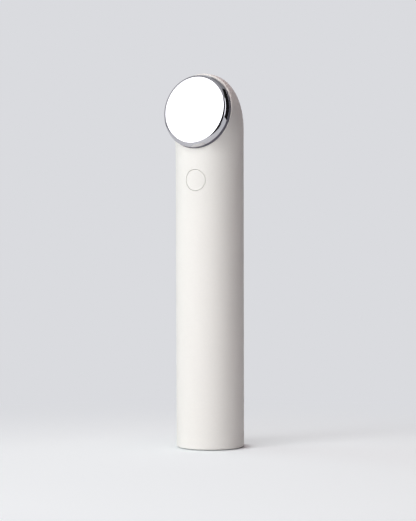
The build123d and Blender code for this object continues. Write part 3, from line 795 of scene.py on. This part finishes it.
def makeTable(look):
    deselectAll()
    bpy.ops.mesh.primitive_plane_add(size=look["size"], location=(0, 0, 0))
    floor = bpy.context.object
    floor.name = "floor"
    material, tree, shader = newMaterial("paleTable", look)
    place = addNode(tree, "ShaderNodeTexCoord")
    direct = seenDirectly(tree)
    # a pool of table round the wand fades to the wall's tone
    middle = direction(cameraView["azimuth"], 0) * look["poolForward"]
    reach = addNode(
        tree, "ShaderNodeVectorMath", {"operation": "DISTANCE"}, {1: middle}, {0: place.outputs["Object"]})
    fade = addNode(
        tree, "ShaderNodeMapRange", {"interpolation_type": "SMOOTHSTEP"},
        {"From Min": look["poolInner"], "From Max": look["poolOuter"]},
        {"Value": reach.outputs["Value"]})
    wallShare = addNode(
        tree, "ShaderNodeMath", {"operation": "MULTIPLY"}, links={0: fade.outputs["Result"], 1: direct})
    wall = addNode(tree, "ShaderNodeEmission", inputs={"Color": linearColour(airLook["wallColour"])})
    # painted light: the table glows for camera and gloss rays on top of its lit shading, which lifts it and
    # thins its shadows; the glow starts just beside the foot, so that the dark line of contact stays
    away = addNode(
        tree, "ShaderNodeVectorMath", {"operation": "LENGTH"}, links={0: place.outputs["Object"]})
    rise = addNode(
        tree, "ShaderNodeMapRange", {"interpolation_type": "SMOOTHSTEP"},
        {"From Min": look["glowInner"], "From Max": look["glowOuter"], "To Max": look["glow"]},
        {"Value": away.outputs["Value"]})
    glowShare = addNode(
        tree, "ShaderNodeMath", {"operation": "MULTIPLY"}, links={0: rise.outputs["Result"], 1: direct})
    glow = addNode(tree, "ShaderNodeEmission", inputs={"Color": linearColour(look["glowColour"])})
    table = addNode(
        tree, "ShaderNodeMixShader",
        links={0: glowShare.outputs["Value"], 1: shader.outputs["BSDF"], 2: glow.outputs["Emission"]})
    addNode(
        tree, "ShaderNodeMixShader",
        links={0: wallShare.outputs["Value"], 1: table.outputs["Shader"], 2: wall.outputs["Emission"]},
        feeds={"Shader": tree.get_output_node("ALL").inputs["Surface"]})
    material.cycles.emission_sampling = "NONE"  # its glow lights nothing
    setMaterial(floor, material)


def makeAir(look):
    world = bpy.data.worlds.new("studioAir")
    bpy.context.scene.world = world
    world.use_nodes = True
    tree = world.node_tree
    tree.nodes.clear()
    wall = addNode(tree, "ShaderNodeBackground", inputs={"Color": linearColour(look["wallColour"])})
    dim = addNode(
        tree, "ShaderNodeBackground",
        inputs={"Color": linearColour(look["colour"]), "Strength": look["light"]})
    mix = addNode(
        tree, "ShaderNodeMixShader",
        links={0: seenDirectly(tree), 1: dim.outputs["Background"], 2: wall.outputs["Background"]})
    addNode(tree, "ShaderNodeOutputWorld", links={"Surface": mix.outputs["Shader"]})


makeTable(tableLook)
makeAir(airLook)
print("table and air made")

# soft lamps, in metres, degrees and watts, all aimed at one point;
# backFill is for the wand's back and leaves the table alone
lampAim = {
    "height": 0.1,
    "distance": 1.3,
}
lamps = {
    "keySoftbox": {"azimuth": -7, "elevation": 26, "size": (1.38, 1.1), "power": 11.7, "inGloss": True},
    "shadowKey": {"azimuth": -26, "elevation": 21, "size": (0.45, 0.4), "power": 3.9, "colour": "#FAFDFE"},
    "leftStrip": {"azimuth": -90, "elevation": 25, "size": (0.7, 1.1), "power": 2.5, "colour": "#E0FFFF"},
    "overhead": {"azimuth": 0, "elevation": 88, "size": (0.6, 0.6), "power": 6.4, "colour": "#FFE9EC"},
    "backFill": {"azimuth": 208, "elevation": 0, "size": (0.3, 1.0), "power": 6.0, "wandOnly": True},
}


def addLamp(name, look, wandPieces):
    data = bpy.data.lights.new(name, "AREA")
    data.shape = "RECTANGLE"
    data.size, data.size_y = look["size"]
    data.energy = look["power"]
    data.color = linearColour(look.get("colour", "#FFFFFF"))[:3]
    lamp = bpy.data.objects.new(name, data)
    bpy.context.scene.collection.objects.link(lamp)
    back = direction(look["azimuth"], look["elevation"])
    lamp.location = Vector((0, 0, lampAim["height"])) + back * lampAim["distance"]
    lamp.rotation_mode = "QUATERNION"
    lamp.rotation_quaternion = back.to_track_quat("Z", "Y")
    lamp.visible_camera = False
    lamp.visible_glossy = look.get("inGloss", False)
    if look.get("wandOnly"):
        lamp.light_linking.receiver_collection = wandPieces


wandPieces = bpy.data.collections.new("wandPieces")
for piece in [cap, *nodes.values()]:
    wandPieces.objects.link(piece)
for name, look in lamps.items():
    addLamp(name, look, wandPieces)

# screens that only reflections show, in metres and degrees: curved ones round the table,
# a flat card on it and a ceiling
screenLook = {
    "radius": 0.45,
    "stepAngle": 8,
    "blueTint": 1.04,
}
screens = {
    "rightScreen": {"start": 101, "end": 150, "bottom": 0.0, "top": 0.56, "shade": 0.01},
    "rightStrip": {"start": 73, "end": 101, "bottom": 0.16, "top": 0.52, "shade": 1.9},
    "rightGrey": {"start": 50, "end": 140, "bottom": 0.56, "top": 0.68, "shade": 0.2},
    "frontScreen": {"start": 4, "end": 73, "bottom": 0.0, "top": 0.55, "shade": 0.02},
    "backGrey": {"start": 150, "end": 196, "bottom": 0.40, "top": 0.70, "shade": 0.27},
    "leftScreen": {"start": -150, "end": -40, "bottom": 0.15, "top": 0.62, "shade": 0.5},
    "leftLow": {"start": -118, "end": -62, "bottom": 0.09, "top": 0.15, "shade": 0.08},
}
frontCard = {
    "start": 28,
    "end": 84,
    "near": 0.235,
    "far": 0.45,
    "level": 0.001,
    "steps": 12,
    "shade": 0.05,
}
greyCeiling = {
    "level": 1.0,
    "size": 1.8,
    "shade": 0.42,
}


def finishScreen(screen, shade):
    material, tree = emptyMaterial(screen.name + "Shade")
    glow = addNode(
        tree, "ShaderNodeEmission", inputs={"Color": (shade, shade, shade * screenLook["blueTint"], 1)})
    addNode(tree, "ShaderNodeOutputMaterial", links={"Surface": glow.outputs["Emission"]})
    material.cycles.emission_sampling = "NONE"  # it lights nothing, so no light samples go to it
    setMaterial(screen, material)
    screen.visible_camera = False
    screen.visible_diffuse = False
    screen.visible_shadow = False
    screen.visible_transmission = False


def addArc(name, look, steps, firstEdge, secondEdge):
    # a grid bent round the wand; each edge is a radius and a level
    middle = math.radians((look["start"] + look["end"]) / 2)
    half = math.radians(look["end"] - look["start"]) / 2
    deselectAll()
    bpy.ops.mesh.primitive_grid_add(x_subdivisions=steps, y_subdivisions=1, size=2)
    arc = bpy.context.object
    arc.name = name
    for vertex in arc.data.vertices:
        angle = middle + half * vertex.co.x
        share = (vertex.co.y + 1) / 2
        radius, level = (first + (second - first) * share for first, second in zip(firstEdge, secondEdge))
        vertex.co = (radius * math.sin(angle), -radius * math.cos(angle), level)
    finishScreen(arc, look["shade"])


for name, look in screens.items():
    steps = round((look["end"] - look["start"]) / screenLook["stepAngle"])
    addArc(name, look, steps, (screenLook["radius"], look["bottom"]), (screenLook["radius"], look["top"]))
addArc("frontCard", frontCard, frontCard["steps"],
       (frontCard["near"], frontCard["level"]), (frontCard["far"], frontCard["level"]))
deselectAll()
bpy.ops.mesh.primitive_plane_add(size=greyCeiling["size"], location=(0, 0, greyCeiling["level"]))
ceiling = bpy.context.object
ceiling.name = "greyCeiling"
finishScreen(ceiling, greyCeiling["shade"])

bpy.context.scene.view_settings.view_transform = "Standard"
print("studio set")
